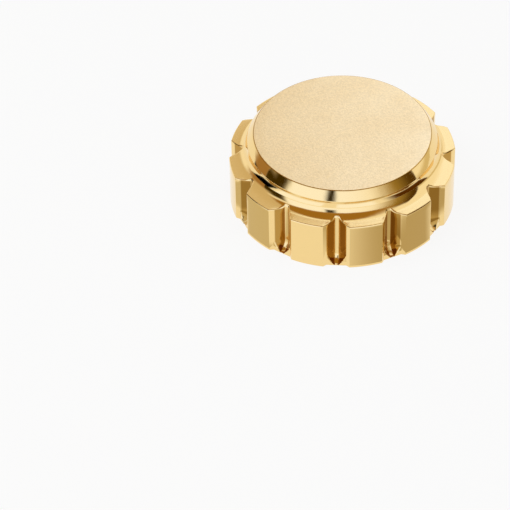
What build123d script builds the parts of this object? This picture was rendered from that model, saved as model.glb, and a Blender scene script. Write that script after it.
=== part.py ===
from build123d import *
import os

# Low screw-down watch crown with twelve grip lobes, a steel core and a sprung stem post.
# Millimetres, +Z up along the crown's axis. The origin is the centre of the base, where the
# skirt stands. The head's open mouth faces down, towards the watch case.

# Stem post, drawn where its spring holds it
stem_hole_diameter = 0.90
stem_hole_mouth_bevel = 0.06
stem_hole_end_wall = 0.18
drill_point_height = 0.20
post_wall = 0.40
post_recess = 0.10
post_edge_break = 0.04
post_stroke = 0.50
collar_seat_width = 0.12
collar_height = 0.50
spigot_end_gap = 0.16

# Retaining ring, pressed into the guide sleeve's mouth
barrel_clearance = 0.05
retainer_thickness = 0.25

# Guide sleeve, with the hexagonal bore for the post's collar
hexagon_clearance = 0.03
hexagon_wall = 0.50
guide_wall = 0.25
guide_recess = 0.30
guide_seat_depth = 0.15

# Spring round the post's spigot, and the washer that it pushes on
spring_wire = 0.12
spring_turns = 4
spring_outer_play = 0.19
spring_inner_play = 0.12
seat_play = 0.10
seat_lip = 0.24
seat_thickness = 0.08

# Threaded sleeve, which screws on the case tube
thread_major_diameter = 4.50
thread_depth = 0.10
thread_pitch = 0.25
thread_turns = 3
thread_lead = 0.20
sleeve_recess = 0.08
sleeve_lip = 0.14
sleeve_mouth_step = 0.17
sleeve_mouth_bevel = 0.05
sleeve_wall = 0.21
gasket_chamber_step = 0.15

# Gaskets
mouth_gasket_section = 0.36
tube_gasket_section = 0.42
gasket_washer_thickness = 0.33
gasket_play = 0.01
gasket_bore_clearance = 0.04

# Head
top_wall = 0.53
core_wall = 0.59
mouth_bevel = 0.08
base_edge_break = 0.03
rim_width = 0.65
bevel_width = 0.22
bevel_drop = 0.33
disc_edge_break = 0.03
land_height = 0.08
land_overhang = 0.03
cove_height = 0.53
cove_reach = 0.38
lobe_edge_round = 0.05

# Notches between the lobes. Flat facets at the lobe corners, and a flat between them, run the
# full height. A groove with a narrow floor and two flanks is milled into the flat from above,
# and runs out above the base where the cutter stopped
lobe_count = 12
notch_depth = 0.46
notch_floor_width = 0.12
flank_depth = 0.34
flank_spread = 0.285
facet_depth = 0.08
facet_spread = 0.10
cutter_body_radius = 0.11
cutter_stop_height = 0.46

# How far a cutting shape runs past what it cuts
overrun = 0.5

# Radii that follow, from the stem hole outwards
stem_hole_radius = stem_hole_diameter / 2
barrel_radius = stem_hole_radius + post_wall
retainer_bore_radius = barrel_radius + barrel_clearance
collar_flat_radius = retainer_bore_radius + collar_seat_width
hexagon_flat_radius = collar_flat_radius + hexagon_clearance
guide_radius = hexagon_flat_radius + hexagon_wall
retainer_radius = guide_radius - guide_wall
spring_radius = hexagon_flat_radius - spring_outer_play - spring_wire / 2
spring_inner_radius = spring_radius - spring_wire / 2
spigot_radius = spring_inner_radius - spring_inner_play
thread_major_radius = thread_major_diameter / 2
thread_minor_radius = thread_major_radius - thread_depth
sleeve_mouth_radius = thread_major_radius + sleeve_mouth_step
chamber_radius = thread_major_radius + gasket_chamber_step
groove_radius = sleeve_mouth_radius + mouth_gasket_section - gasket_bore_clearance
core_radius = groove_radius + sleeve_wall
notch_floor_radius = core_radius + core_wall
head_radius = notch_floor_radius + notch_depth
notch_flat_radius = notch_floor_radius + flank_depth
cap_radius = head_radius - rim_width
disc_radius = cap_radius - bevel_width
neck_radius = cap_radius - land_overhang

# Heights that follow, from the base up
groove_floor = sleeve_recess + sleeve_lip
groove_top = groove_floor + mouth_gasket_section + gasket_play
thread_foot = groove_top + thread_lead
chamber_floor = thread_foot + thread_turns * thread_pitch
washer_underside = chamber_floor + tube_gasket_section + gasket_play
ceiling = washer_underside + gasket_washer_thickness
guide_top = ceiling + guide_seat_depth
seat_underside = guide_top - seat_thickness
retainer_top = guide_recess + retainer_thickness
collar_top = retainer_top + collar_height
spigot_top = seat_underside - post_stroke - spigot_end_gap
stem_hole_top = spigot_top - stem_hole_end_wall - drill_point_height
head_height = ceiling + top_wall
bevel_foot = head_height - bevel_drop
cove_top = bevel_foot - land_height
lobe_height = cove_top - cove_height

# The cove leaves the neck upright
cove_radius = (cove_reach ** 2 + cove_height ** 2) / (2 * cove_reach)
lobe_pitch_angle = 360 / lobe_count


# Outlines seen from above, with X pointing outwards through the notch's middle
def both_sides(side):
    return side + [(radius, -half) for radius, half in reversed(side)]


flank_corner_half = notch_floor_width / 2 + flank_spread

# The facets keep their slope as they leave the head
open_depth = facet_depth + overrun
open_half = flank_corner_half + facet_spread * open_depth / facet_depth
facet_outline = both_sides([
    (notch_flat_radius, flank_corner_half),
    (notch_flat_radius + open_depth, open_half),
])

# The flanks keep theirs for half of the way from the flat to the cutter's axle
past_flat = cutter_body_radius / 2
groove_outline = both_sides([
    (notch_floor_radius, notch_floor_width / 2),
    (notch_flat_radius + past_flat, flank_corner_half + flank_spread * past_flat / flank_depth),
])

# Shape that one groove takes away: upright, then swung out round the cutter's axle
with BuildPart() as groove_shape:
    with BuildSketch(Plane.XY.offset(cutter_stop_height)):
        Polygon(*groove_outline, align=None)
    extrude(amount=cove_top - cutter_stop_height)
    with BuildSketch(Plane.XY.offset(cutter_stop_height)):
        Polygon(*groove_outline, align=None)
    cutter_axle = (notch_flat_radius + cutter_body_radius, 0, cutter_stop_height)
    revolve(axis=Axis(cutter_axle, (0, -1, 0)), revolution_arc=90)


with BuildPart() as crown_head:
    # Turned body: disc, bevel, land, cove and the rim that the lobes are cut from
    with BuildSketch(Plane.XZ):
        with BuildLine():
            Polyline(
                (0, ceiling),
                (0, head_height),
                (disc_radius - disc_edge_break, head_height),
                (disc_radius, head_height - disc_edge_break / 2),
                (cap_radius, bevel_foot),
                (cap_radius, cove_top),
                (neck_radius, cove_top),
            )
            RadiusArc(
                (neck_radius, cove_top),
                (neck_radius + cove_reach, lobe_height),
                -cove_radius,
            )
            Line(
                (neck_radius + cove_reach, lobe_height),
                (head_radius - lobe_edge_round, lobe_height),
            )
            RadiusArc(
                (head_radius - lobe_edge_round, lobe_height),
                (head_radius, lobe_height - lobe_edge_round),
                lobe_edge_round,
            )
            Polyline(
                (head_radius, lobe_height - lobe_edge_round),
                (head_radius, base_edge_break),
                (head_radius - base_edge_break, 0),
                (core_radius + mouth_bevel, 0),
                (core_radius, mouth_bevel),
                (core_radius, ceiling),
                (0, ceiling),
            )
        make_face()
    revolve(axis=Axis.Z)

    # Facets and the flats between them, from the base into the cove
    with BuildSketch(Plane.XY):
        with PolarLocations(0, lobe_count, start_angle=lobe_pitch_angle / 2):
            Polygon(*facet_outline, align=None)
    extrude(amount=cove_top, mode=Mode.SUBTRACT)

    # Grooves, milled into the flats
    with PolarLocations(0, lobe_count, start_angle=lobe_pitch_angle / 2):
        add(groove_shape.part, mode=Mode.SUBTRACT)

    # Recess in the ceiling, which the guide sleeve is pressed into
    with BuildSketch(Plane.XY.offset(ceiling)):
        Circle(guide_radius)
    extrude(amount=guide_seat_depth, mode=Mode.SUBTRACT)


with BuildPart() as threaded_sleeve:
    ridge_points = []
    for turn in range(thread_turns):
        ridge_foot = thread_foot + turn * thread_pitch
        ridge_points.append((thread_minor_radius, ridge_foot))
        ridge_points.append((thread_major_radius, ridge_foot + thread_pitch / 2))
    with BuildSketch(Plane.XZ):
        with BuildLine():
            Polyline(
                (core_radius, sleeve_recess),
                (sleeve_mouth_radius + sleeve_mouth_bevel, sleeve_recess),
                (sleeve_mouth_radius, sleeve_recess + sleeve_mouth_bevel),
                (sleeve_mouth_radius, groove_floor),
                (groove_radius, groove_floor),
                (groove_radius, groove_top),
                (thread_minor_radius, groove_top),
                *ridge_points,
                (thread_minor_radius, chamber_floor),
                (chamber_radius, chamber_floor),
                (chamber_radius, ceiling),
                (core_radius, ceiling),
                (core_radius, sleeve_recess),
            )
        make_face()
    revolve(axis=Axis.Z)


with BuildPart() as mouth_gasket:
    ring_radius = groove_radius - gasket_play - mouth_gasket_section / 2
    with BuildSketch(Plane.XZ):
        with Locations((ring_radius, (groove_floor + groove_top) / 2)):
            Circle(mouth_gasket_section / 2)
    revolve(axis=Axis.Z)


with BuildPart() as tube_gasket:
    ring_radius = guide_radius + gasket_bore_clearance + tube_gasket_section / 2
    with BuildSketch(Plane.XZ):
        with Locations((ring_radius, (chamber_floor + washer_underside) / 2)):
            Circle(tube_gasket_section / 2)
    revolve(axis=Axis.Z)


with BuildPart() as gasket_washer:
    with BuildSketch(Plane.XY.offset(washer_underside)):
        Circle(chamber_radius)
        Circle(guide_radius, mode=Mode.SUBTRACT)
    extrude(amount=gasket_washer_thickness)


with BuildPart() as guide_sleeve:
    with BuildSketch(Plane.XY.offset(guide_recess)):
        Circle(guide_radius)
        RegularPolygon(hexagon_flat_radius, 6, major_radius=False, mode=Mode.SUBTRACT)
    extrude(amount=guide_top - guide_recess)
    with BuildSketch(Plane.XY.offset(guide_recess)):
        Circle(retainer_radius)
    extrude(amount=retainer_thickness, mode=Mode.SUBTRACT)


with BuildPart() as retaining_ring:
    with BuildSketch(Plane.XY.offset(guide_recess)):
        Circle(retainer_radius)
        Circle(retainer_bore_radius, mode=Mode.SUBTRACT)
    extrude(amount=retainer_thickness)


with BuildPart() as stem_post:
    with BuildSketch(Plane.XY.offset(post_recess)):
        Circle(barrel_radius)
    extrude(amount=retainer_top - post_recess)
    with BuildSketch(Plane.XY.offset(retainer_top)):
        RegularPolygon(collar_flat_radius, 6, major_radius=False)
    extrude(amount=collar_height)
    with BuildSketch(Plane.XY.offset(collar_top)):
        Circle(spigot_radius)
    extrude(amount=spigot_top - collar_top)
    end_edges = stem_post.edges().group_by(Axis.Z)
    chamfer(end_edges[0] + end_edges[-1], length=post_edge_break)
    # Tapped blind hole for the winding stem, with a drill point and a bevelled mouth
    with BuildSketch(Plane.XZ):
        with BuildLine():
            Polyline(
                (0, post_recess),
                (stem_hole_radius + stem_hole_mouth_bevel, post_recess),
                (stem_hole_radius, post_recess + stem_hole_mouth_bevel),
                (stem_hole_radius, stem_hole_top),
                (0, stem_hole_top + drill_point_height),
                (0, post_recess),
            )
        make_face()
    revolve(axis=Axis.Z, mode=Mode.SUBTRACT)


with BuildPart() as spring_seat:
    with BuildSketch(Plane.XY.offset(seat_underside)):
        Circle(hexagon_flat_radius - seat_play)
        Circle(spring_inner_radius - seat_lip, mode=Mode.SUBTRACT)
    extrude(amount=seat_thickness)


with BuildPart() as post_spring:
    coil_foot = collar_top + spring_wire / 2
    coil_height = seat_underside - spring_wire / 2 - coil_foot
    coil_pitch = coil_height / spring_turns
    with BuildLine():
        coil = Helix(
            pitch=coil_pitch,
            height=coil_height,
            radius=spring_radius,
            center=(0, 0, coil_foot),
        )
    with BuildSketch(Plane(origin=coil @ 0, z_dir=coil % 0)):
        Circle(spring_wire / 2)
    sweep(path=coil, is_frenet=True)


pieces = {
    "crown_head": crown_head,
    "threaded_sleeve": threaded_sleeve,
    "mouth_gasket": mouth_gasket,
    "tube_gasket": tube_gasket,
    "gasket_washer": gasket_washer,
    "guide_sleeve": guide_sleeve,
    "retaining_ring": retaining_ring,
    "stem_post": stem_post,
    "spring_seat": spring_seat,
    "post_spring": post_spring,
}

os.makedirs("parts", exist_ok=True)
for name, piece in pieces.items():
    piece.part.label = name
    export_step(piece.part, f"parts/{name}.step")

spring_length = seat_underside - collar_top
print(f"head: {2 * head_radius:.3f} mm across, {head_height:.3f} mm high, lobes {lobe_height:.3f} mm")
print(f"stem hole wall: {stem_hole_top - post_recess - stem_hole_mouth_bevel:.3f} mm long")
print(f"spring: {spring_length:.3f} mm at rest, {spring_length - post_stroke:.3f} mm pushed in, "
      f"solid at {(spring_turns + 1) * spring_wire:.3f} mm, gap {coil_pitch - spring_wire:.3f} mm")
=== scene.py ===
from math import asin, atan2, cos, floor, hypot, pi, radians, sin, sqrt, tan

import bmesh
import bpy
from mathutils import Matrix, Vector


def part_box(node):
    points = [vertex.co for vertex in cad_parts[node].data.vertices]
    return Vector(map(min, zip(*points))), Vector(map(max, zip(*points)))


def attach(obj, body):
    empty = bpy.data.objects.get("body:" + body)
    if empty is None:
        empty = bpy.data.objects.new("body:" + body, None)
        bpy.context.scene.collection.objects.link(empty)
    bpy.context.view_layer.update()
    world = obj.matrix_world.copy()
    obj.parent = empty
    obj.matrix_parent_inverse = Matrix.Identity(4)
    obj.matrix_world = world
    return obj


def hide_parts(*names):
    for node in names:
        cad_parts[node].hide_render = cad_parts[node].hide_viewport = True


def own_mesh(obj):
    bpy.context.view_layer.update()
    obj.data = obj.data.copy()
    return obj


# Low watch crown with twelve grip lobes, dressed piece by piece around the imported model.
# Shapes are worked out in millimetres and written to the meshes in metres.

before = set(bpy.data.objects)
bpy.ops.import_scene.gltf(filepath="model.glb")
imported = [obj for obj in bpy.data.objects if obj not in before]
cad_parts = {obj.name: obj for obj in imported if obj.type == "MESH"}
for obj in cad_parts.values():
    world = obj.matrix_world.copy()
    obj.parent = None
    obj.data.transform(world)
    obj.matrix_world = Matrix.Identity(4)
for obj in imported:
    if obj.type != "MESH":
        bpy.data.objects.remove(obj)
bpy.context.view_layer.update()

MM = 0.001


def reach(node):
    """How far a node goes out from the axis, along +X."""
    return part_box(node)[1].x / MM


def foot(node):
    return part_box(node)[0].z / MM


def crest(node):
    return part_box(node)[1].z / MM


# Head, from the frame
head_radius = reach("crown_head")
head_height = crest("crown_head")
core_radius = reach("threaded_sleeve")
ceiling = crest("threaded_sleeve")
guide_radius = reach("guide_sleeve")
guide_top = crest("guide_sleeve")

# Head, turned shape
rim_width = 0.65
bevel_width = 0.22
bevel_drop = 0.33
disc_edge_round = 0.03
land_height = 0.08
land_overhang = 0.03
land_edge_round = 0.015
cove_height = 0.53
cove_reach = 0.38
top_edge_round = 0.05
base_edge_break = 0.03
mouth_bevel = 0.08

# Notches between the lobes
lobe_count = 12
notch_depth = 0.46
notch_floor_width = 0.12
flank_depth = 0.34
flank_spread = 0.285
facet_depth = 0.08
facet_spread = 0.10
cutter_body_radius = 0.11
cutter_stop_height = 0.46
root_round = 0.025
flank_round = 0.02
face_round = 0.02

# How finely the head's mesh is divided
lobe_steps = 8
corner_steps = 4
flank_steps = 16
edge_steps = 4
cove_steps = 14
run_out_steps = 16
wall_steps = 6
land_steps = 3
disc_rings = 6

# All meshes: points to a round ring, lengths that are cleaned away, and what counts as sharp
ring_columns = 96
weld_distance = 0.0004
sliver_length = 0.0002
sharp_angle = radians(32)

# Radii and heights that follow
cap_radius = head_radius - rim_width
disc_radius = cap_radius - bevel_width
neck_radius = cap_radius - land_overhang
crease_radius = neck_radius + cove_reach
bevel_foot = head_height - bevel_drop
cove_top = bevel_foot - land_height
lobe_height = cove_top - cove_height
cove_radius = (cove_reach ** 2 + cove_height ** 2) / (2 * cove_reach)
notch_floor_radius = head_radius - notch_depth
notch_flat_radius = notch_floor_radius + flank_depth
flank_corner_half = notch_floor_width / 2 + flank_spread
cutter_axle_radius = notch_flat_radius + cutter_body_radius
half_pitch = pi / lobe_count


def shared(start, end, share):
    return start + (end - start) * share


def turn_of(point):
    return atan2(point.y, point.x)


def between(first, last, share):
    return tuple(shared(a, b, share) for a, b in zip(first, last))


def rounded(before, corner, after, radius, steps):
    """Points of the arc that rounds a corner between two straight lines."""
    corner = Vector(corner)
    to_before = (Vector(before) - corner).normalized()
    to_after = (Vector(after) - corner).normalized()
    half_angle = to_before.angle(to_after) / 2
    centre = corner + (to_before + to_after).normalized() * radius / sin(half_angle)
    first = corner + to_before * radius / tan(half_angle) - centre
    last = corner + to_after * radius / tan(half_angle) - centre
    turn = first.angle(last)
    points = []
    for step in range(steps + 1):
        share = step / steps
        spoke = (first * sin((1 - share) * turn) + last * sin(share * turn)) / sin(turn)
        points.append(tuple(centre + spoke))
    return points


def arc(centre, radius, start, end, steps):
    """Points of an arc of a circle, with its angles in radians."""
    angles = [shared(start, end, step / steps) for step in range(steps + 1)]
    return [(centre[0] + radius * cos(a), centre[1] + radius * sin(a)) for a in angles]


# Materials

def paint(name, color, metallic, roughness):
    material = bpy.data.materials.new(name)
    material.use_nodes = True
    shader = material.node_tree.nodes["Principled BSDF"]
    shader.inputs["Base Color"].default_value = (*color, 1)
    shader.inputs["Metallic"].default_value = metallic
    shader.inputs["Roughness"].default_value = roughness
    return material, shader


def place(material, per_mm=(1, 1, 1)):
    """A vector that counts in cells of the given number to the millimetre."""
    nodes, links = material.node_tree.nodes, material.node_tree.links
    where = nodes.new("ShaderNodeTexCoord")
    mapping = nodes.new("ShaderNodeMapping")
    mapping.inputs["Scale"].default_value = [n / MM for n in per_mm]
    links.new(where.outputs["Object"], mapping.inputs["Vector"])
    return mapping.outputs["Vector"]


def axis_parts(material):
    """Radius and height in millimetres, and the turn about the axis."""
    nodes, links = material.node_tree.nodes, material.node_tree.links
    split = nodes.new("ShaderNodeSeparateXYZ")
    links.new(place(material), split.inputs["Vector"])
    flat = nodes.new("ShaderNodeCombineXYZ")
    links.new(split.outputs["X"], flat.inputs["X"])
    links.new(split.outputs["Y"], flat.inputs["Y"])
    radius = nodes.new("ShaderNodeVectorMath")
    radius.operation = "LENGTH"
    links.new(flat.outputs["Vector"], radius.inputs[0])
    turn = nodes.new("ShaderNodeMath")
    turn.operation = "ARCTAN2"
    links.new(split.outputs["Y"], turn.inputs[0])
    links.new(split.outputs["X"], turn.inputs[1])
    return radius.outputs["Value"], split.outputs["Z"], turn.outputs["Value"]


def round_axis(material, rings_per_mm, height_per_mm, turn_share):
    """A vector for turned marks: radius, height, and a little of the way round."""
    nodes, links = material.node_tree.nodes, material.node_tree.links
    marks = nodes.new("ShaderNodeCombineXYZ")
    for part, name in zip(axis_parts(material), "XYZ"):
        links.new(part, marks.inputs[name])
    stretch = nodes.new("ShaderNodeVectorMath")
    stretch.operation = "MULTIPLY"
    stretch.inputs[1].default_value = (rings_per_mm, height_per_mm, turn_share)
    links.new(marks.outputs["Vector"], stretch.inputs[0])
    return stretch.outputs["Vector"]


def noise(material, vector, detail=2, roughness=0.5):
    node = material.node_tree.nodes.new("ShaderNodeTexNoise")
    node.inputs["Scale"].default_value = 1
    node.inputs["Detail"].default_value = detail
    node.inputs["Roughness"].default_value = roughness
    material.node_tree.links.new(vector, node.inputs["Vector"])
    return node.outputs["Fac"]


def spread(material, value, low, high, start=0.3, end=0.7):
    """Stretches a texture's values from start..end to low..high."""
    node = material.node_tree.nodes.new("ShaderNodeMapRange")
    node.inputs["From Min"].default_value = start
    node.inputs["From Max"].default_value = end
    node.inputs["To Min"].default_value = low
    node.inputs["To Max"].default_value = high
    material.node_tree.links.new(value, node.inputs["Value"])
    return node.outputs["Result"]


def two_tones(material, shader, value, dark, light):
    node = material.node_tree.nodes.new("ShaderNodeMix")
    node.data_type = "RGBA"
    node.inputs[6].default_value = (*dark, 1)
    node.inputs[7].default_value = (*light, 1)
    material.node_tree.links.new(value, node.inputs["Factor"])
    material.node_tree.links.new(node.outputs[2], shader.inputs["Base Color"])


def bump(material, shader, layers):
    """Stacks bumps, each given as a height value and its depth in millimetres."""
    nodes, links = material.node_tree.nodes, material.node_tree.links
    normal = None
    for height, depth in layers:
        node = nodes.new("ShaderNodeBump")
        node.inputs["Strength"].default_value = 1
        node.inputs["Distance"].default_value = depth * MM
        links.new(height, node.inputs["Height"])
        if normal:
            links.new(normal, node.inputs["Normal"])
        normal = node.outputs["Normal"]
    links.new(normal, shader.inputs["Normal"])


def tinted(color, share):
    return tuple(part * share for part in color)


gold = (0.93, 0.68, 0.30)
# Darker gold: painted shade for the dark reflections on the notches' flanks and the disc's edge
painted_shade_gold = (0.50, 0.28, 0.06)
pale_gold = (0.99, 0.79, 0.47)

# Where the polished coat changes, as two distances from an edge of the shape
floor_fade = (0, 0.03)
flank_fade = (-0.05, -0.01)
flat_fade = (-0.04, -0.005)
top_fade = (-0.04, -0.01)
satin_fade = (-0.15, 0.1)
satin_top_fade = (-0.03, -0.01)
disc_edge_fade = (0, disc_edge_round / 2)


def rises(material, value, edge, fade):
    """0 before an edge and 1 after it."""
    return spread(material, value, 0, 1, edge + fade[0], edge + fade[1])


def falls(material, value, edge, fade):
    """1 before an edge and 0 after it."""
    return spread(material, value, 1, 0, edge + fade[0], edge + fade[1])


def constant(material, value):
    node = material.node_tree.nodes.new("ShaderNodeValue")
    node.outputs["Value"].default_value = value
    return node.outputs["Value"]


def combined(material, operation, first, second):
    node = material.node_tree.nodes.new("ShaderNodeMath")
    node.operation = operation
    material.node_tree.links.new(first, node.inputs[0])
    material.node_tree.links.new(second, node.inputs[1])
    return node.outputs["Value"]


def flank_share(material, radius, height, turn):
    """Painted-shade mask: 1 on the notches' flanks, 0 on their floors, facets and lobes."""
    pitch = constant(material, 2 * half_pitch)
    pitches = combined(material, "DIVIDE", turn, pitch)
    past_lobe = combined(material, "FRACT", pitches, pitches)
    off_middle = combined(material, "SUBTRACT", past_lobe, constant(material, 0.5))
    angle = combined(material, "MULTIPLY", off_middle, pitch)
    across = combined(material, "MULTIPLY", angle, radius)
    beside = combined(material, "ABSOLUTE", across, across)
    share = rises(material, beside, notch_floor_width / 2, floor_fade)
    edges = [
        (beside, flank_corner_half, flank_fade),
        (radius, notch_flat_radius, flat_fade),
        (height, lobe_height, top_fade),
    ]
    for value, edge, fade in edges:
        share = combined(material, "MULTIPLY", share, falls(material, value, edge, fade))
    return share


def polished_gold():
    """Buffed plating: nearly a mirror, with soft waves and hairline marks, that turns satin
    over the flat tops of the lobes, where a tool left fine rings. Painted shade: the colour
    is darker on the notches' flanks and on the thin edge round the disc, standing in for
    the dark reflections there."""
    material, shader = paint("polished_gold", gold, 1, 0.07)
    radius, height, turn = axis_parts(material)
    on_top = combined(
        material, "MULTIPLY",
        rises(material, radius, crease_radius, satin_fade),
        rises(material, height, lobe_height, satin_top_fade),
    )
    waves = noise(material, place(material, (1.6, 1.6, 0.7)))
    hairlines = noise(material, place(material, (9, 9, 2)), detail=4)
    rings = noise(material, round_axis(material, 26, 6, 0.6))
    # Painted shade: darker gold on the notches' flanks, for the dark reflections they show
    flank_shade_share = flank_share(material, radius, height, turn)
    # Painted shade: darker gold on the thin edge round the disc, for the dark line seen there
    disc_edge = rises(material, height, head_height - disc_edge_round, disc_edge_fade)
    painted_shade_share = combined(material, "MAXIMUM", flank_shade_share, disc_edge)
    two_tones(material, shader, painted_shade_share, gold, painted_shade_gold)
    satin = combined(material, "MULTIPLY", on_top, spread(material, rings, 0.13, 0.19))
    buffed = spread(material, hairlines, 0.05, 0.1)
    roughness = combined(material, "ADD", buffed, satin)
    material.node_tree.links.new(roughness, shader.inputs["Roughness"])
    marks = combined(material, "MULTIPLY", on_top, rings)
    bump(material, shader, [(waves, 0.006), (hairlines, 0.0004), (marks, 0.0008)])
    return material


def blasted_gold():
    """Matte disc: fine grains all over."""
    material, shader = paint("blasted_gold", pale_gold, 1, 0.5)
    grains = noise(material, place(material, (14, 14, 14)), detail=3, roughness=0.7)
    cloud = noise(material, place(material, (0.9, 0.9, 0.9)))
    sparkle = spread(material, grains, 0, 1, 0.36, 0.64)
    two_tones(material, shader, sparkle, tinted(pale_gold, 0.87), pale_gold)
    links = material.node_tree.links
    links.new(spread(material, cloud, 0.4, 0.5), shader.inputs["Roughness"])
    bump(material, shader, [(grains, 0.01)])
    return material


def turned_metal(name, color, roughness):
    """Lathe-turned metal, for the head's inside and the pieces in it."""
    material, shader = paint(name, color, 1, roughness)
    marks = noise(material, round_axis(material, 24, 24, 0.5), detail=3)
    cloud = noise(material, place(material, (1.5, 1.5, 1.5)))
    two_tones(material, shader, spread(material, marks, 0, 1), tinted(color, 0.86), color)
    uneven = spread(material, cloud, roughness * 0.85, roughness * 1.2)
    material.node_tree.links.new(uneven, shader.inputs["Roughness"])
    bump(material, shader, [(marks, 0.0022)])
    return material


def drawn_wire():
    """Spring wire: drawn steel with faint lengthwise marks."""
    color = (0.50, 0.50, 0.51)
    material, shader = paint("drawn_wire", color, 1, 0.24)
    marks = noise(material, place(material, (7, 7, 30)), detail=3)
    two_tones(material, shader, spread(material, marks, 0, 1), tinted(color, 0.8), color)
    links = material.node_tree.links
    links.new(spread(material, marks, 0.2, 0.32), shader.inputs["Roughness"])
    bump(material, shader, [(marks, 0.001)])
    return material


def moulded_rubber():
    """Gasket rubber: dull black with a fine pebbled skin."""
    material, shader = paint("moulded_rubber", (0.022, 0.022, 0.023), 0, 0.5)
    pebbles = noise(material, place(material, (22, 22, 22)), detail=3)
    links = material.node_tree.links
    links.new(spread(material, pebbles, 0.42, 0.58), shader.inputs["Roughness"])
    two_tones(material, shader, pebbles, (0.016, 0.016, 0.017), (0.03, 0.03, 0.031))
    bump(material, shader, [(pebbles, 0.003)])
    return material


# Meshes

def skin(name, rings, coats, bands=None, closed=False):
    """Joins rings of points, each with the same count or a single point, into one mesh.
    bands gives the number of the coat for each step from one ring to the next."""
    points, rows = [], []
    for ring in rings:
        rows.append(range(len(points), len(points) + len(ring)))
        points.extend(tuple(part * MM for part in point) for point in ring)
    columns = max(len(row) for row in rows)
    steps = list(zip(rows, rows[1:]))
    if closed:
        steps.append((rows[-1], rows[0]))
    faces, face_coats = [], []
    for number, (lower, upper) in enumerate(steps):
        for column in range(columns):
            after = column + 1
            corners = [
                lower[column % len(lower)],
                lower[after % len(lower)],
                upper[after % len(upper)],
                upper[column % len(upper)],
            ]
            faces.append(list(dict.fromkeys(corners)))
            face_coats.append(bands[number] if bands else 0)
    mesh = bpy.data.meshes.new(name)
    mesh.from_pydata(points, [], faces)
    mesh.polygons.foreach_set("material_index", face_coats)
    shaped = bmesh.new()
    shaped.from_mesh(mesh)
    bmesh.ops.remove_doubles(shaped, verts=shaped.verts, dist=weld_distance * MM)
    bmesh.ops.dissolve_degenerate(shaped, edges=shaped.edges, dist=sliver_length * MM)
    bmesh.ops.recalc_face_normals(shaped, faces=shaped.faces)
    shaped.to_mesh(mesh)
    shaped.free()
    mesh.shade_smooth()
    mesh.set_sharp_from_angle(angle=sharp_angle)
    for coat in coats:
        mesh.materials.append(coat)
    piece = bpy.data.objects.new(name, mesh)
    bpy.context.scene.collection.objects.link(piece)
    weighted = piece.modifiers.new("even shading", "WEIGHTED_NORMAL")
    weighted.keep_sharp = True
    return piece


def circle(radius, height):
    turns = [2 * pi * column / ring_columns for column in range(ring_columns)]
    return [(radius * cos(turn), radius * sin(turn), height) for turn in turns]


def hexagon(flat_radius, corner_radius, height):
    """A hexagon with a corner on +X, cut off at the given corner radius."""
    ring = []
    for column in range(ring_columns):
        turn = 2 * pi * column / ring_columns
        off_flat = turn % (pi / 3) - pi / 6
        radius = min(flat_radius / cos(off_flat), corner_radius)
        ring.append((radius * cos(turn), radius * sin(turn), height))
    return ring


def dress(piece, node, body):
    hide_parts(node)
    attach(piece, body)
    return piece


def ringed(node, body, coat, rings, closed=True):
    """A piece with one coat, from its rings."""
    return dress(skin(node + "_dressed", rings, [coat], closed=closed), node, body)


def turned(node, coat, profile):
    """A piece of the crown turned about the axis, from its profile as radius and height."""
    return ringed(node, "crown", coat, [circle(*point) for point in profile])


# Head

def sector_outline():
    """One lobe and the two half notches beside it, seen from above, without the last point,
    which is the first of the next sector."""
    floor_half = notch_floor_width / 2
    root = (notch_floor_radius, floor_half)
    flank_corner = (root[0] + flank_depth, root[1] + flank_spread)
    along = facet_depth ** 2 + facet_spread ** 2
    out = flank_corner[0] * facet_depth + flank_corner[1] * facet_spread
    short = hypot(*flank_corner) ** 2 - head_radius ** 2
    share = (sqrt(out ** 2 - along * short) - out) / along
    face_corner = (flank_corner[0] + facet_depth * share, flank_corner[1] + facet_spread * share)
    corner_turn = Vector(face_corner).angle(Vector((1, 0)))
    face_turn = corner_turn + 2 * face_round / head_radius
    half = arc((0, 0), head_radius, half_pitch, face_turn, lobe_steps)
    half += rounded(half[-1], face_corner, flank_corner, face_round, corner_steps)
    half += rounded(face_corner, flank_corner, root, flank_round, corner_steps)
    flank_start = half[-1]
    root_arc = rounded(flank_corner, root, (root[0], 0), root_round, corner_steps)
    for step in range(1, flank_steps):
        half.append(between(flank_start, root_arc[0], step / flank_steps))
    half += root_arc
    half.append((notch_floor_radius, 0))
    # The half runs from the lobe's middle to the notch's; turn it so that the lobe is on +X
    turn = Matrix.Rotation(-half_pitch, 2)
    side = [turn @ Vector(point) for point in half]
    mirrored = [Vector((p.x, -p.y)) for p in side]
    return side[:0:-1] + mirrored[:-1]


def head_outline():
    """The whole outline with, for each point, the move of an inward offset of 1."""
    least_turn_share = 0.5
    sector = sector_outline()
    points = []
    for number in range(lobe_count):
        turn = Matrix.Rotation(2 * half_pitch * number, 2)
        points += [turn @ point for point in sector]
    moves = []
    for number, point in enumerate(points):
        back = (point - points[number - 1]).normalized()
        ahead = (points[(number + 1) % len(points)] - point).normalized()
        along = (back + ahead).normalized()
        inward = Vector((-along.y, along.x))
        moves.append(inward / max(along.dot(ahead), least_turn_share))
    return points, sharp_moves(points, moves, top_edge_round)


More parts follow.
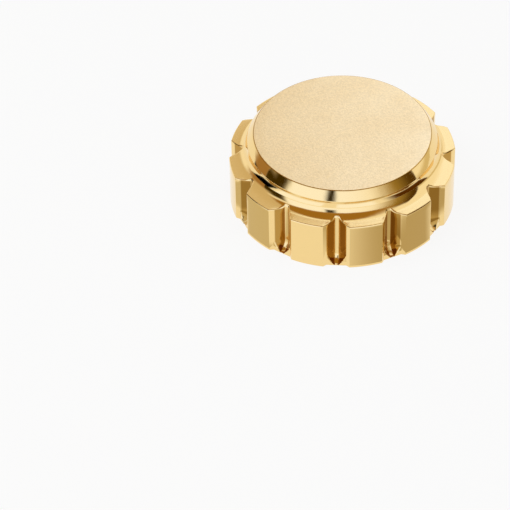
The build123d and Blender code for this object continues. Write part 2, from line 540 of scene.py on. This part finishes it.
def sharp_moves(points, moves, offset):
    """The moves, with each corner that is rounded tighter than the offset run to one point."""
    count = len(points)
    folded = []
    for number in range(count):
        after = (number + 1) % count
        side = points[after] - points[number]
        folded.append(side.dot(side + (moves[after] - moves[number]) * offset) < 0)
    for number in range(count):
        if not folded[number] or folded[number - 1]:
            continue
        run = [number]
        while folded[run[-1] % count]:
            run.append(run[-1] + 1)
        last = points[run[-1] % count]
        back = (points[number] - points[number - 1]).normalized()
        ahead = (points[(run[-1] + 1) % count] - last).normalized()
        start = points[number] + Vector((-back.y, back.x)) * offset
        end = last + Vector((-ahead.y, ahead.x)) * offset
        corner = start + back * ((end - start).cross(ahead) / back.cross(ahead))
        for place_in_run in run:
            moves[place_in_run % count] = (corner - points[place_in_run % count]) / offset
    return moves


def top_height(radius):
    """Height of the head's upper surface outside the neck."""
    if radius >= crease_radius:
        return lobe_height
    short = neck_radius + cove_radius - radius
    return cove_top - sqrt(max(cove_radius ** 2 - short ** 2, 0))


def run_out(point, height):
    """A point of the outline, moved out below the height where the cutter swings out of
    the notch, but not past the flat between the facets."""
    turn = 2 * half_pitch * (floor(turn_of(point) / (2 * half_pitch)) + 0.5)
    from_middle = Matrix.Rotation(-turn, 2) @ point
    in_groove = abs(from_middle.y) < flank_corner_half and from_middle.x < notch_flat_radius
    if height >= cutter_stop_height or not in_groove:
        return point
    arm = cutter_axle_radius - from_middle.x
    drop = cutter_stop_height - height
    out = cutter_axle_radius - sqrt(max(arm ** 2 - drop ** 2, 0))
    return Matrix.Rotation(turn, 2) @ Vector((min(out, notch_flat_radius), from_middle.y))


def rings_about(inset):
    """The function that gives a ring of the head at a radius and height. Its points are
    evenly spaced, or nearer to the turns of the inset outline's points at less evenness."""
    rounding = 1e-9
    first_turn = turn_of(inset[0])
    even = [first_turn + 2 * pi * number / len(inset) for number in range(len(inset))]
    uneven = [turn_of(p) for p in inset]
    uneven = [turn + 2 * pi if turn < first_turn - rounding else turn for turn in uneven]

    def around(radius, height, evenness=1):
        turns = [shared(a, b, evenness) for a, b in zip(uneven, even)]
        return [(radius * cos(turn), radius * sin(turn), height) for turn in turns]

    return around


def mouth_rings(around):
    """The inside, from the middle of the guide sleeve's recess to the mouth."""
    return [
        [(0, 0, guide_top)],
        around(guide_radius, guide_top),
        around(guide_radius, ceiling),
        around(core_radius, ceiling),
        around(core_radius, mouth_bevel),
        around(core_radius + mouth_bevel, 0),
    ]


def wall_rings(points):
    """The broken edge of the base, then the walls: where the notches run out, and above."""
    cutter_radius = flank_depth + cutter_body_radius
    low_rim = [run_out(p, 0) for p in points]
    rings = [[(p * (1 - base_edge_break / p.length)).to_3d() for p in low_rim]]
    lowest_turn = asin((cutter_stop_height - base_edge_break) / cutter_radius)
    for step in range(run_out_steps + 1):
        turn = lowest_turn * (1 - step / run_out_steps)
        height = cutter_stop_height - cutter_radius * sin(turn)
        moved = [run_out(p, height) for p in points]
        rings.append([(p.x, p.y, height) for p in moved])
    for step in range(1, wall_steps + 1):
        ring = []
        for p in points:
            edge = top_height(p.length) - top_edge_round
            ring.append((p.x, p.y, shared(cutter_stop_height, edge, step / wall_steps)))
        rings.append(ring)
    return rings


def edge_rings(points, moves):
    """The rounded edge at the top of the walls."""
    rings = []
    for step in range(1, edge_steps + 1):
        turn = pi / 2 * step / edge_steps
        ring = []
        for p, m in zip(points, moves):
            moved = p + m * top_edge_round * (1 - cos(turn))
            height = top_height(moved.length) - top_edge_round * (1 - sin(turn))
            ring.append((moved.x, moved.y, height))
        rings.append(ring)
    return rings


def cove_rings(inset, around):
    """The cove, clamped to the edge where a notch cuts into it."""
    rings = []
    deepest = min(p.length for p in inset)
    sweep = pi / 2 - Vector((cove_radius - cove_reach, cove_height)).angle(Vector((0, 1)))
    for step in range(cove_steps + 1):
        turn = sweep * (1 - step / cove_steps)
        radius = neck_radius + cove_radius * (1 - cos(turn))
        if radius < deepest:
            evenness = (deepest - radius) / (deepest - neck_radius)
            rings.append(around(radius, top_height(radius), evenness))
            continue
        ring = []
        for p in inset:
            kept = min(radius, p.length)
            ring.append((p.x / p.length * kept, p.y / p.length * kept, top_height(kept)))
        rings.append(ring)
    return rings


def cap_profile():
    """The land, the bevel and the disc's rounded edge, as radius and height."""
    middle = (disc_radius, head_height)
    upper = (cap_radius, bevel_foot)
    lower = (cap_radius, cove_top)
    profile = rounded((neck_radius, cove_top), lower, upper, land_edge_round, land_steps)
    profile += rounded(lower, upper, middle, land_edge_round, land_steps)
    profile += rounded(upper, middle, (0, head_height), disc_edge_round, edge_steps)
    return profile


def crown_head():
    polished, blasted, inside = range(3)
    points, moves = head_outline()
    inset = [p + m * top_edge_round for p, m in zip(points, moves)]
    around = rings_about(inset)
    cap = cap_profile()
    disc_start = cap.pop()
    sides = wall_rings(points) + edge_rings(points, moves) + cove_rings(inset, around)
    sides += [around(*point) for point in cap]
    disc = [around(*disc_start)]
    for step in range(1, disc_rings):
        disc.append(around(shared(disc_start[0], 0, step / disc_rings), head_height))
    disc.append([(0, 0, head_height)])
    rings, bands = [], []
    for band, group in ((inside, mouth_rings(around)), (polished, sides), (blasted, disc)):
        rings += group
        bands += [band] * len(group)
    coats = [polished_gold(), blasted_gold(), turned_metal("turned_gold", gold, 0.3)]
    piece = skin("crown_head_dressed", rings, coats, bands)
    return dress(piece, "crown_head", "crown")


# Inside pieces: sizes that the boxes don't give, and the rows of points to a turn of thread
thread_major_radius = 2.25
thread_depth = 0.10
thread_pitch = 0.25
thread_foot = 0.79
thread_turns = 3
sleeve_lip = 0.14
sleeve_mouth_radius = 2.42
sleeve_mouth_bevel = 0.05
groove_radius = 2.74
groove_depth = 0.37
hexagon_flat_radius = 1.05
hexagon_corner_cut = 0.02
retainer_bore_radius = 0.90
retainer_break = 0.03
barrel_radius = 0.85
spigot_radius = 0.62
stem_hole_radius = 0.45
stem_hole_bevel = 0.06
stem_thread_depth = 0.045
stem_thread_pitch = 0.225
stem_thread_start = 0.22
stem_hole_top = 1.33
drill_point_height = 0.20
collar_height = 0.50
piece_edge_break = 0.02
post_edge_break = 0.04
seat_bore_radius = 0.50
thread_rows = 10


def thread_rings(wall_radius, depth, start, end, pitch, meeting_height):
    """Rings of a threaded wall between two heights, shallow at both ends. The thread goes out
    from the wall's radius, or in where the depth is negative, and comes back to that radius
    on +X at the meeting height and every pitch from there."""
    rings = []
    count = round(abs(end - start) / pitch * thread_rows)
    for row in range(count + 1):
        height = shared(start, end, row / count)
        fade = min(row / thread_rows, (count - row) / thread_rows, 1)
        ring = []
        for x, y, z in circle(1, height):
            turn = Vector((x, y)).angle_signed(Vector((1, 0))) / (2 * pi)
            phase = ((height - meeting_height) / pitch - turn) % 1
            radius = wall_radius + depth * fade * (1 - abs(2 * phase - 1))
            ring.append((x * radius, y * radius, z))
        rings.append(ring)
    return rings


def threaded_sleeve(steel):
    """Sleeve with the gasket groove and a real helical thread on its inner wall."""
    base, top = foot("threaded_sleeve"), crest("threaded_sleeve")
    chamber_radius = reach("gasket_washer")
    thread_minor_radius = thread_major_radius - thread_depth
    thread_top = thread_foot + thread_turns * thread_pitch
    groove_floor = base + sleeve_lip
    groove_top = groove_floor + groove_depth
    lower = [
        (core_radius, top),
        (core_radius, base + piece_edge_break),
        (core_radius - piece_edge_break, base),
        (sleeve_mouth_radius + sleeve_mouth_bevel, base),
        (sleeve_mouth_radius, base + sleeve_mouth_bevel),
        (sleeve_mouth_radius, groove_floor),
        (groove_radius, groove_floor),
        (groove_radius, groove_top),
        (thread_minor_radius + piece_edge_break, groove_top),
        (thread_minor_radius, groove_top + piece_edge_break),
    ]
    rings = [circle(*point) for point in lower]
    rings += thread_rings(
        thread_minor_radius, thread_depth, thread_foot, thread_top, thread_pitch, thread_foot,
    )
    rings.append(circle(chamber_radius, thread_top))
    rings.append(circle(chamber_radius, top))
    return ringed("threaded_sleeve", "crown", steel, rings)


def gasket(node, rubber):
    """O-ring, with the fine flash line that its mould leaves inside and outside."""
    columns = 28
    flash_share = 0.015
    section = (crest(node) - foot(node)) / 2
    middle = (reach(node) - section, (crest(node) + foot(node)) / 2)
    profile = arc(middle, section * (1 - flash_share), 0, 2 * pi, columns)[:-1]
    profile[0] = (middle[0] + section, middle[1])
    profile[columns // 2] = (middle[0] - section, middle[1])
    return turned(node, rubber, profile)


def plain_ring(node, coat, inner, edge):
    """Square-cut ring with small broken edges, from its bore's radius and its box."""
    outer, low, high = reach(node), foot(node), crest(node)
    profile = [
        (inner + edge, low),
        (outer - edge, low),
        (outer, low + edge),
        (outer, high - edge),
        (outer - edge, high),
        (inner + edge, high),
        (inner, high - edge),
        (inner, low + edge),
    ]
    return turned(node, coat, profile)


def guide_sleeve(steel):
    """Sleeve with a hexagonal bore, open below to a round seat for the retaining ring."""
    base, top = foot("guide_sleeve"), crest("guide_sleeve")
    seat_radius, seat_top = reach("retaining_ring"), crest("retaining_ring")
    corner = hexagon_flat_radius / cos(pi / 6) - hexagon_corner_cut
    rings = [
        circle(seat_radius, base),
        circle(guide_radius - piece_edge_break, base),
        circle(guide_radius, base + piece_edge_break),
        circle(guide_radius, top - piece_edge_break),
        circle(guide_radius - piece_edge_break, top),
        hexagon(hexagon_flat_radius, corner, top),
        hexagon(hexagon_flat_radius, corner, seat_top),
        circle(seat_radius, seat_top),
    ]
    return ringed("guide_sleeve", "crown", steel, rings)


def stem_post(steel):
    """Post with its hexagonal collar, spigot and tapped hole."""
    base, top = foot("stem_post"), crest("stem_post")
    collar_foot = crest("retaining_ring")
    collar_top = collar_foot + collar_height
    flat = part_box("stem_post")[1].y / MM
    corner = reach("stem_post") - hexagon_corner_cut
    rings = [
        [(0, 0, stem_hole_top + drill_point_height)],
        circle(stem_hole_radius, stem_hole_top),
    ]
    rings += thread_rings(
        stem_hole_radius, -stem_thread_depth, stem_hole_top, stem_thread_start,
        stem_thread_pitch, 0,
    )
    rings += [
        circle(stem_hole_radius, base + stem_hole_bevel),
        circle(stem_hole_radius + stem_hole_bevel, base),
        circle(barrel_radius - post_edge_break, base),
        circle(barrel_radius, base + post_edge_break),
        circle(barrel_radius, collar_foot),
        hexagon(flat - piece_edge_break, corner - piece_edge_break, collar_foot),
        hexagon(flat, corner, collar_foot + piece_edge_break),
        hexagon(flat, corner, collar_top - piece_edge_break),
        hexagon(flat - piece_edge_break, corner - piece_edge_break, collar_top),
        circle(spigot_radius, collar_top),
        circle(spigot_radius, top - post_edge_break),
        circle(spigot_radius - post_edge_break, top),
        [(0, 0, top)],
    ]
    return ringed("stem_post", "post", steel, rings, closed=False)


def post_spring(wire_coat):
    """Coil of round wire, with a mesh of its own."""
    turns = 4
    columns = 12
    steps_per_turn = 40
    wire_radius = 0.06
    middle = reach("post_spring") - wire_radius
    low, high = foot("post_spring") + wire_radius, crest("post_spring") - wire_radius
    count = turns * steps_per_turn
    climb = (high - low) / (turns * 2 * pi * middle)
    slope = Vector((0, 1, climb)).normalized()
    side = slope.cross(Vector((1, 0, 0)))
    rings = []
    for step in range(count + 1):
        turn = 2 * pi * step / steps_per_turn
        about = Matrix.Rotation(turn, 3, "Z")
        centre = about @ Vector((middle, 0, 0)) + Vector((0, 0, shared(low, high, step / count)))
        ring = []
        for column in range(columns):
            angle = 2 * pi * column / columns
            spoke = Vector((1, 0, 0)) * cos(angle) + side * sin(angle)
            ring.append(tuple(centre + about @ spoke * wire_radius))
        if step == 0:
            rings.append([tuple(centre)])
        rings.append(ring)
    rings.append([tuple(centre)])
    piece = ringed("post_spring", "crown", wire_coat, rings, closed=False)
    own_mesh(piece)
    return piece


def inside_pieces():
    steel = turned_metal("turned_steel", (0.60, 0.59, 0.57), 0.26)
    post_steel = turned_metal("fine_turned_steel", (0.68, 0.67, 0.65), 0.2)
    brass = turned_metal("turned_brass", (0.70, 0.52, 0.25), 0.25)
    rubber = moulded_rubber()
    threaded_sleeve(steel)
    gasket("mouth_gasket", rubber)
    gasket("tube_gasket", rubber)
    plain_ring("gasket_washer", steel, guide_radius, piece_edge_break)
    guide_sleeve(steel)
    plain_ring("retaining_ring", brass, retainer_bore_radius, retainer_break)
    stem_post(post_steel)
    plain_ring("spring_seat", steel, seat_bore_radius, piece_edge_break / 2)
    post_spring(drawn_wire())


# Camera, at the photograph's viewing angle
camera_azimuth = radians(-9.97)
camera_elevation = radians(42.411)
camera_roll = radians(-1.2975)
camera_distance = 28 * head_radius
camera_shift_right = 0.7910 * head_radius
camera_shift_up = 0.5418 * head_radius
focal_length = 221.28


def toward(azimuth, elevation):
    """Direction from the object; azimuth 0 is towards -Y and 90 degrees towards +X."""
    return Vector((
        sin(azimuth) * cos(elevation),
        -cos(azimuth) * cos(elevation),
        sin(elevation),
    ))


def camera():
    back = toward(camera_azimuth, camera_elevation)
    right = Vector((cos(camera_azimuth), sin(camera_azimuth), 0))
    up = back.cross(right)
    rolled_right = right * cos(camera_roll) + up * sin(camera_roll)
    rolled_up = up * cos(camera_roll) - right * sin(camera_roll)
    place_mm = back * camera_distance - right * camera_shift_right - up * camera_shift_up
    data = bpy.data.cameras.new("camera")
    data.lens = focal_length
    data.sensor_width = 36
    data.clip_start = 0.01
    data.clip_end = 10
    eye = bpy.data.objects.new("camera", data)
    turn = Matrix((rolled_right, rolled_up, back)).transposed().to_4x4()
    eye.matrix_world = Matrix.Translation(place_mm * MM) @ turn
    bpy.context.scene.collection.objects.link(eye)
    bpy.context.scene.camera = eye


# Studio
floor_half_width = 600
floor_drop = 0.01
floor_color = (0.88, 0.87, 0.85)
floor_white_share = 0.88
ambient_brightness = 0.55
lamp_distance = 120
card_distance = 120
card_gap = 0.01
card_columns = 60
card_rows = 24

# Floor cards: how far out from the head's side they start and end
near_floor = (0.1, 3.2)
far_floor = (3.2, 140)


def shown_rays(owner):
    """1 for camera, glossy and transmission rays, which show the background, else 0."""
    path = owner.node_tree.nodes.new("ShaderNodeLightPath")
    total = path.outputs["Is Camera Ray"]
    for kind in ("Is Glossy Ray", "Is Transmission Ray"):
        total = combined(owner, "MAXIMUM", total, path.outputs[kind])
    return total


def bare_coat(name):
    """Material without any nodes yet."""
    material = bpy.data.materials.new(name)
    material.use_nodes = True
    material.node_tree.nodes.clear()
    return material


def glow(material, brightness):
    node = material.node_tree.nodes.new("ShaderNodeEmission")
    node.inputs["Color"].default_value = (*brightness, 1)
    return node


def mixed(material, share, first, second):
    """The first shader where the share is 0, and the second where it is 1."""
    node = material.node_tree.nodes.new("ShaderNodeMixShader")
    links = material.node_tree.links
    links.new(share, node.inputs["Fac"])
    links.new(first.outputs[0], node.inputs[1])
    links.new(second.outputs[0], node.inputs[2])
    return node


def show(material, shader):
    output = material.node_tree.nodes.new("ShaderNodeOutputMaterial")
    material.node_tree.links.new(shader.outputs[0], output.inputs["Surface"])


def floor_coat():
    """White but for a soft shadow, to the camera and in reflections, and open from below."""
    material = bare_coat("floor")
    nodes = material.node_tree.nodes
    lit = nodes.new("ShaderNodeBsdfDiffuse")
    lit.inputs["Color"].default_value = (*floor_color, 1)
    white_share = constant(material, floor_white_share)
    white_share = combined(material, "MULTIPLY", shown_rays(material), white_share)
    seen = mixed(material, white_share, lit, glow(material, (1, 1, 1)))
    side = nodes.new("ShaderNodeNewGeometry")
    clear = nodes.new("ShaderNodeBsdfTransparent")
    show(material, mixed(material, side.outputs["Backfacing"], seen, clear))
    return material


def white_floor():
    """Pale square floor, just under the object."""
    corners = [(-1, -1), (1, -1), (1, 1), (-1, 1)]
    span, height = floor_half_width * MM, -floor_drop * MM
    mesh = bpy.data.meshes.new("floor")
    mesh.from_pydata([(x * span, y * span, height) for x, y in corners], [], [(0, 1, 2, 3)])
    mesh.materials.append(floor_coat())
    piece = bpy.data.objects.new("floor", mesh)
    bpy.context.scene.collection.objects.link(piece)


def card_coat(name, brightness):
    """Card that is as bright as a share of the white around it and clears towards its edge."""
    material = bare_coat(name)
    nodes, links = material.node_tree.nodes, material.node_tree.links
    cover = nodes.new("ShaderNodeAttribute")
    cover.attribute_name = "cover"
    soft = nodes.new("ShaderNodeMapRange")
    soft.interpolation_type = "SMOOTHSTEP"
    links.new(cover.outputs["Fac"], soft.inputs["Value"])
    clear = nodes.new("ShaderNodeBsdfTransparent")
    show(material, mixed(material, soft.outputs["Result"], clear, glow(material, brightness)))
    return material


def sheet(name, place_at, brightness, soft):
    """Card that only reflections see. place_at gives its points from two shares, across and
    up. Its cover grows inwards over the shares in soft: left, right, low and high."""
    points, covers = [], []
    for row in range(card_rows + 1):
        for column in range(card_columns + 1):
            across, up = column / card_columns, row / card_rows
            points.append(place_at(across, up) * MM)
            edges = (across, 1 - across, up, 1 - up)
            covers.append(min([way / share for way, share in zip(edges, soft)] + [1]))
    faces = []
    for row in range(card_rows):
        for column in range(card_columns):
            first = row * (card_columns + 1) + column
            above = first + card_columns + 1
            faces.append((first, first + 1, above + 1, above))
    mesh = bpy.data.meshes.new(name)
    mesh.from_pydata(points, [], faces)
    mesh.attributes.new("cover", "FLOAT", "POINT").data.foreach_set("value", covers)
    mesh.materials.append(card_coat(name, brightness))
    piece = bpy.data.objects.new(name, mesh)
    bpy.context.scene.collection.objects.link(piece)
    piece.visible_camera = False
    piece.visible_diffuse = False
    piece.visible_shadow = False


def card(name, left, right, low, high, brightness, soft, distance=card_distance):
    """Card far off, between two azimuths from the camera's and two elevations, in degrees."""

    def place_at(across, up):
        turn = camera_azimuth + radians(shared(left, right, across))
        return toward(turn, radians(shared(low, high, up))) * distance

    sheet(name, place_at, brightness, soft)


def floor_card(name, left, right, span, brightness, soft):
    """Card on the floor, where the head's side mirrors it between two of its azimuths. Its
    rows lie closer together near the head."""

    def place_at(across, up):
        turn = radians(shared(left, right, across))
        out = shared(*span, up ** 2)
        start = toward(camera_azimuth + turn, 0) * head_radius
        return start + toward(camera_azimuth + 2 * turn, 0) * out + Vector((0, 0, floor_drop))

    sheet(name, place_at, brightness, soft)


def softbox(name, azimuth, elevation, size, power):
    """Square area lamp that faces the object and isn't seen in reflections."""
    data = bpy.data.lights.new(name, "AREA")
    data.size = size * MM
    data.energy = power
    lamp = bpy.data.objects.new(name, data)
    way = toward(camera_azimuth + radians(azimuth), radians(elevation))
    lamp.location = way * lamp_distance * MM
    lamp.rotation_mode = "QUATERNION"
    lamp.rotation_quaternion = way.to_track_quat("Z", "Y")
    lamp.visible_glossy = False
    bpy.context.scene.collection.objects.link(lamp)


def surround():
    """White all round to the camera and in reflections, and a soft grey light elsewhere."""
    world = bpy.data.worlds.new("surround")
    bpy.context.scene.world = world
    world.use_nodes = True
    nodes, links = world.node_tree.nodes, world.node_tree.links
    background = nodes["Background"]
    background.inputs["Color"].default_value = (1, 1, 1, 1)
    strength = nodes.new("ShaderNodeMapRange")
    strength.inputs["To Min"].default_value = ambient_brightness
    strength.inputs["To Max"].default_value = 1
    links.new(shown_rays(world), strength.inputs["Value"])
    links.new(strength.outputs["Result"], background.inputs["Strength"])


def studio():
    """White surroundings and floor, cards that only reflections see, and two lamps."""
    bpy.context.scene.view_settings.view_transform = "Standard"
    surround()
    white_floor()

    # Cool white cards, behind the others
    front, back = (1.08, 1.2, 1.6), (1.1, 1.18, 1.4)
    far = 2 * card_distance
    card("front_card", -70, 60, 2, 40, front, (0.1, 0.5, 0.1, 0.2), far)
    card("back_card", 110, 250, 15, 75, back, (0.2, 0.2, 0.2, 0.2), far)

    # Warm and dark cards
    near, just_behind = card_distance / 4, card_distance + card_gap
    card("back_left_card", 170, 285, 15, 75, (0.66, 0.56, 0.4), (0.28, 0.15, 0.2, 0.2), near)
    card("overhead_card", -110, 84, 32, 88, (0.36, 0.19, 0.03), (0.15, 0.25, 0.14, 0.02))
    card("left_card", -93, -60, -1, 32, (0.05, 0.03, 0), (0.03, 0.3, 0.02, 0.3))
    card("far_left_card", -126, -92, -1, 34, (0.38, 0.22, 0.08), (0.5, 0.02, 0.02, 0.3))
    card("narrow_card", -23, -6, 13, 42, (0.03, 0.02, 0), (0.45, 0.45, 0.3, 0.3))
    right_warm = (0.35, 0.24, 0.06)
    card("right_warm_card", 26, 85, -1, 54, right_warm, (0.61, 0.03, 0.02, 0.25), just_behind)
    card("right_card", 54, 85, -1, 54, (0.09, 0.045, 0.005), (0.84, 0.05, 0.02, 0.25))
    card("far_right_card", 84, 150, -1, 10, (0.72, 0.64, 0.45), (0.03, 0.3, 0.02, 0.5))

    # Cards on the floor, which the lobes' sides mirror
    floor_card("left_floor_card", -58, -42, far_floor, (0, 0, 0), (0.1, 0.15, 0.1, 0.02))
    floor_card("front_floor_card", -41, -10.5, far_floor, front, (0.1, 0.1, 0.1, 0.02))
    floor_card("middle_floor_card", -5.5, 20, far_floor, front, (0.1, 0.2, 0.1, 0.02))
    floor_card("right_floor_card", 21, 52, far_floor, (0.09, 0.03, 0), (0.35, 0.04, 0.1, 0.02))
    left_shade, right_shade = (0.64, 0.59, 0.46), (0.52, 0.45, 0.31)
    floor_card("left_floor_shade", -60, -34, near_floor, left_shade, (0.15, 0.2, 0.02, 0.1))
    floor_card("right_floor_shade", -12, 52, near_floor, right_shade, (0.5, 0.12, 0.02, 0.1))

    softbox("key", -70, 50, 70, 0.035)
    softbox("fill", 60, 40, 90, 0.012)


crown_head()
inside_pieces()
camera()
studio()
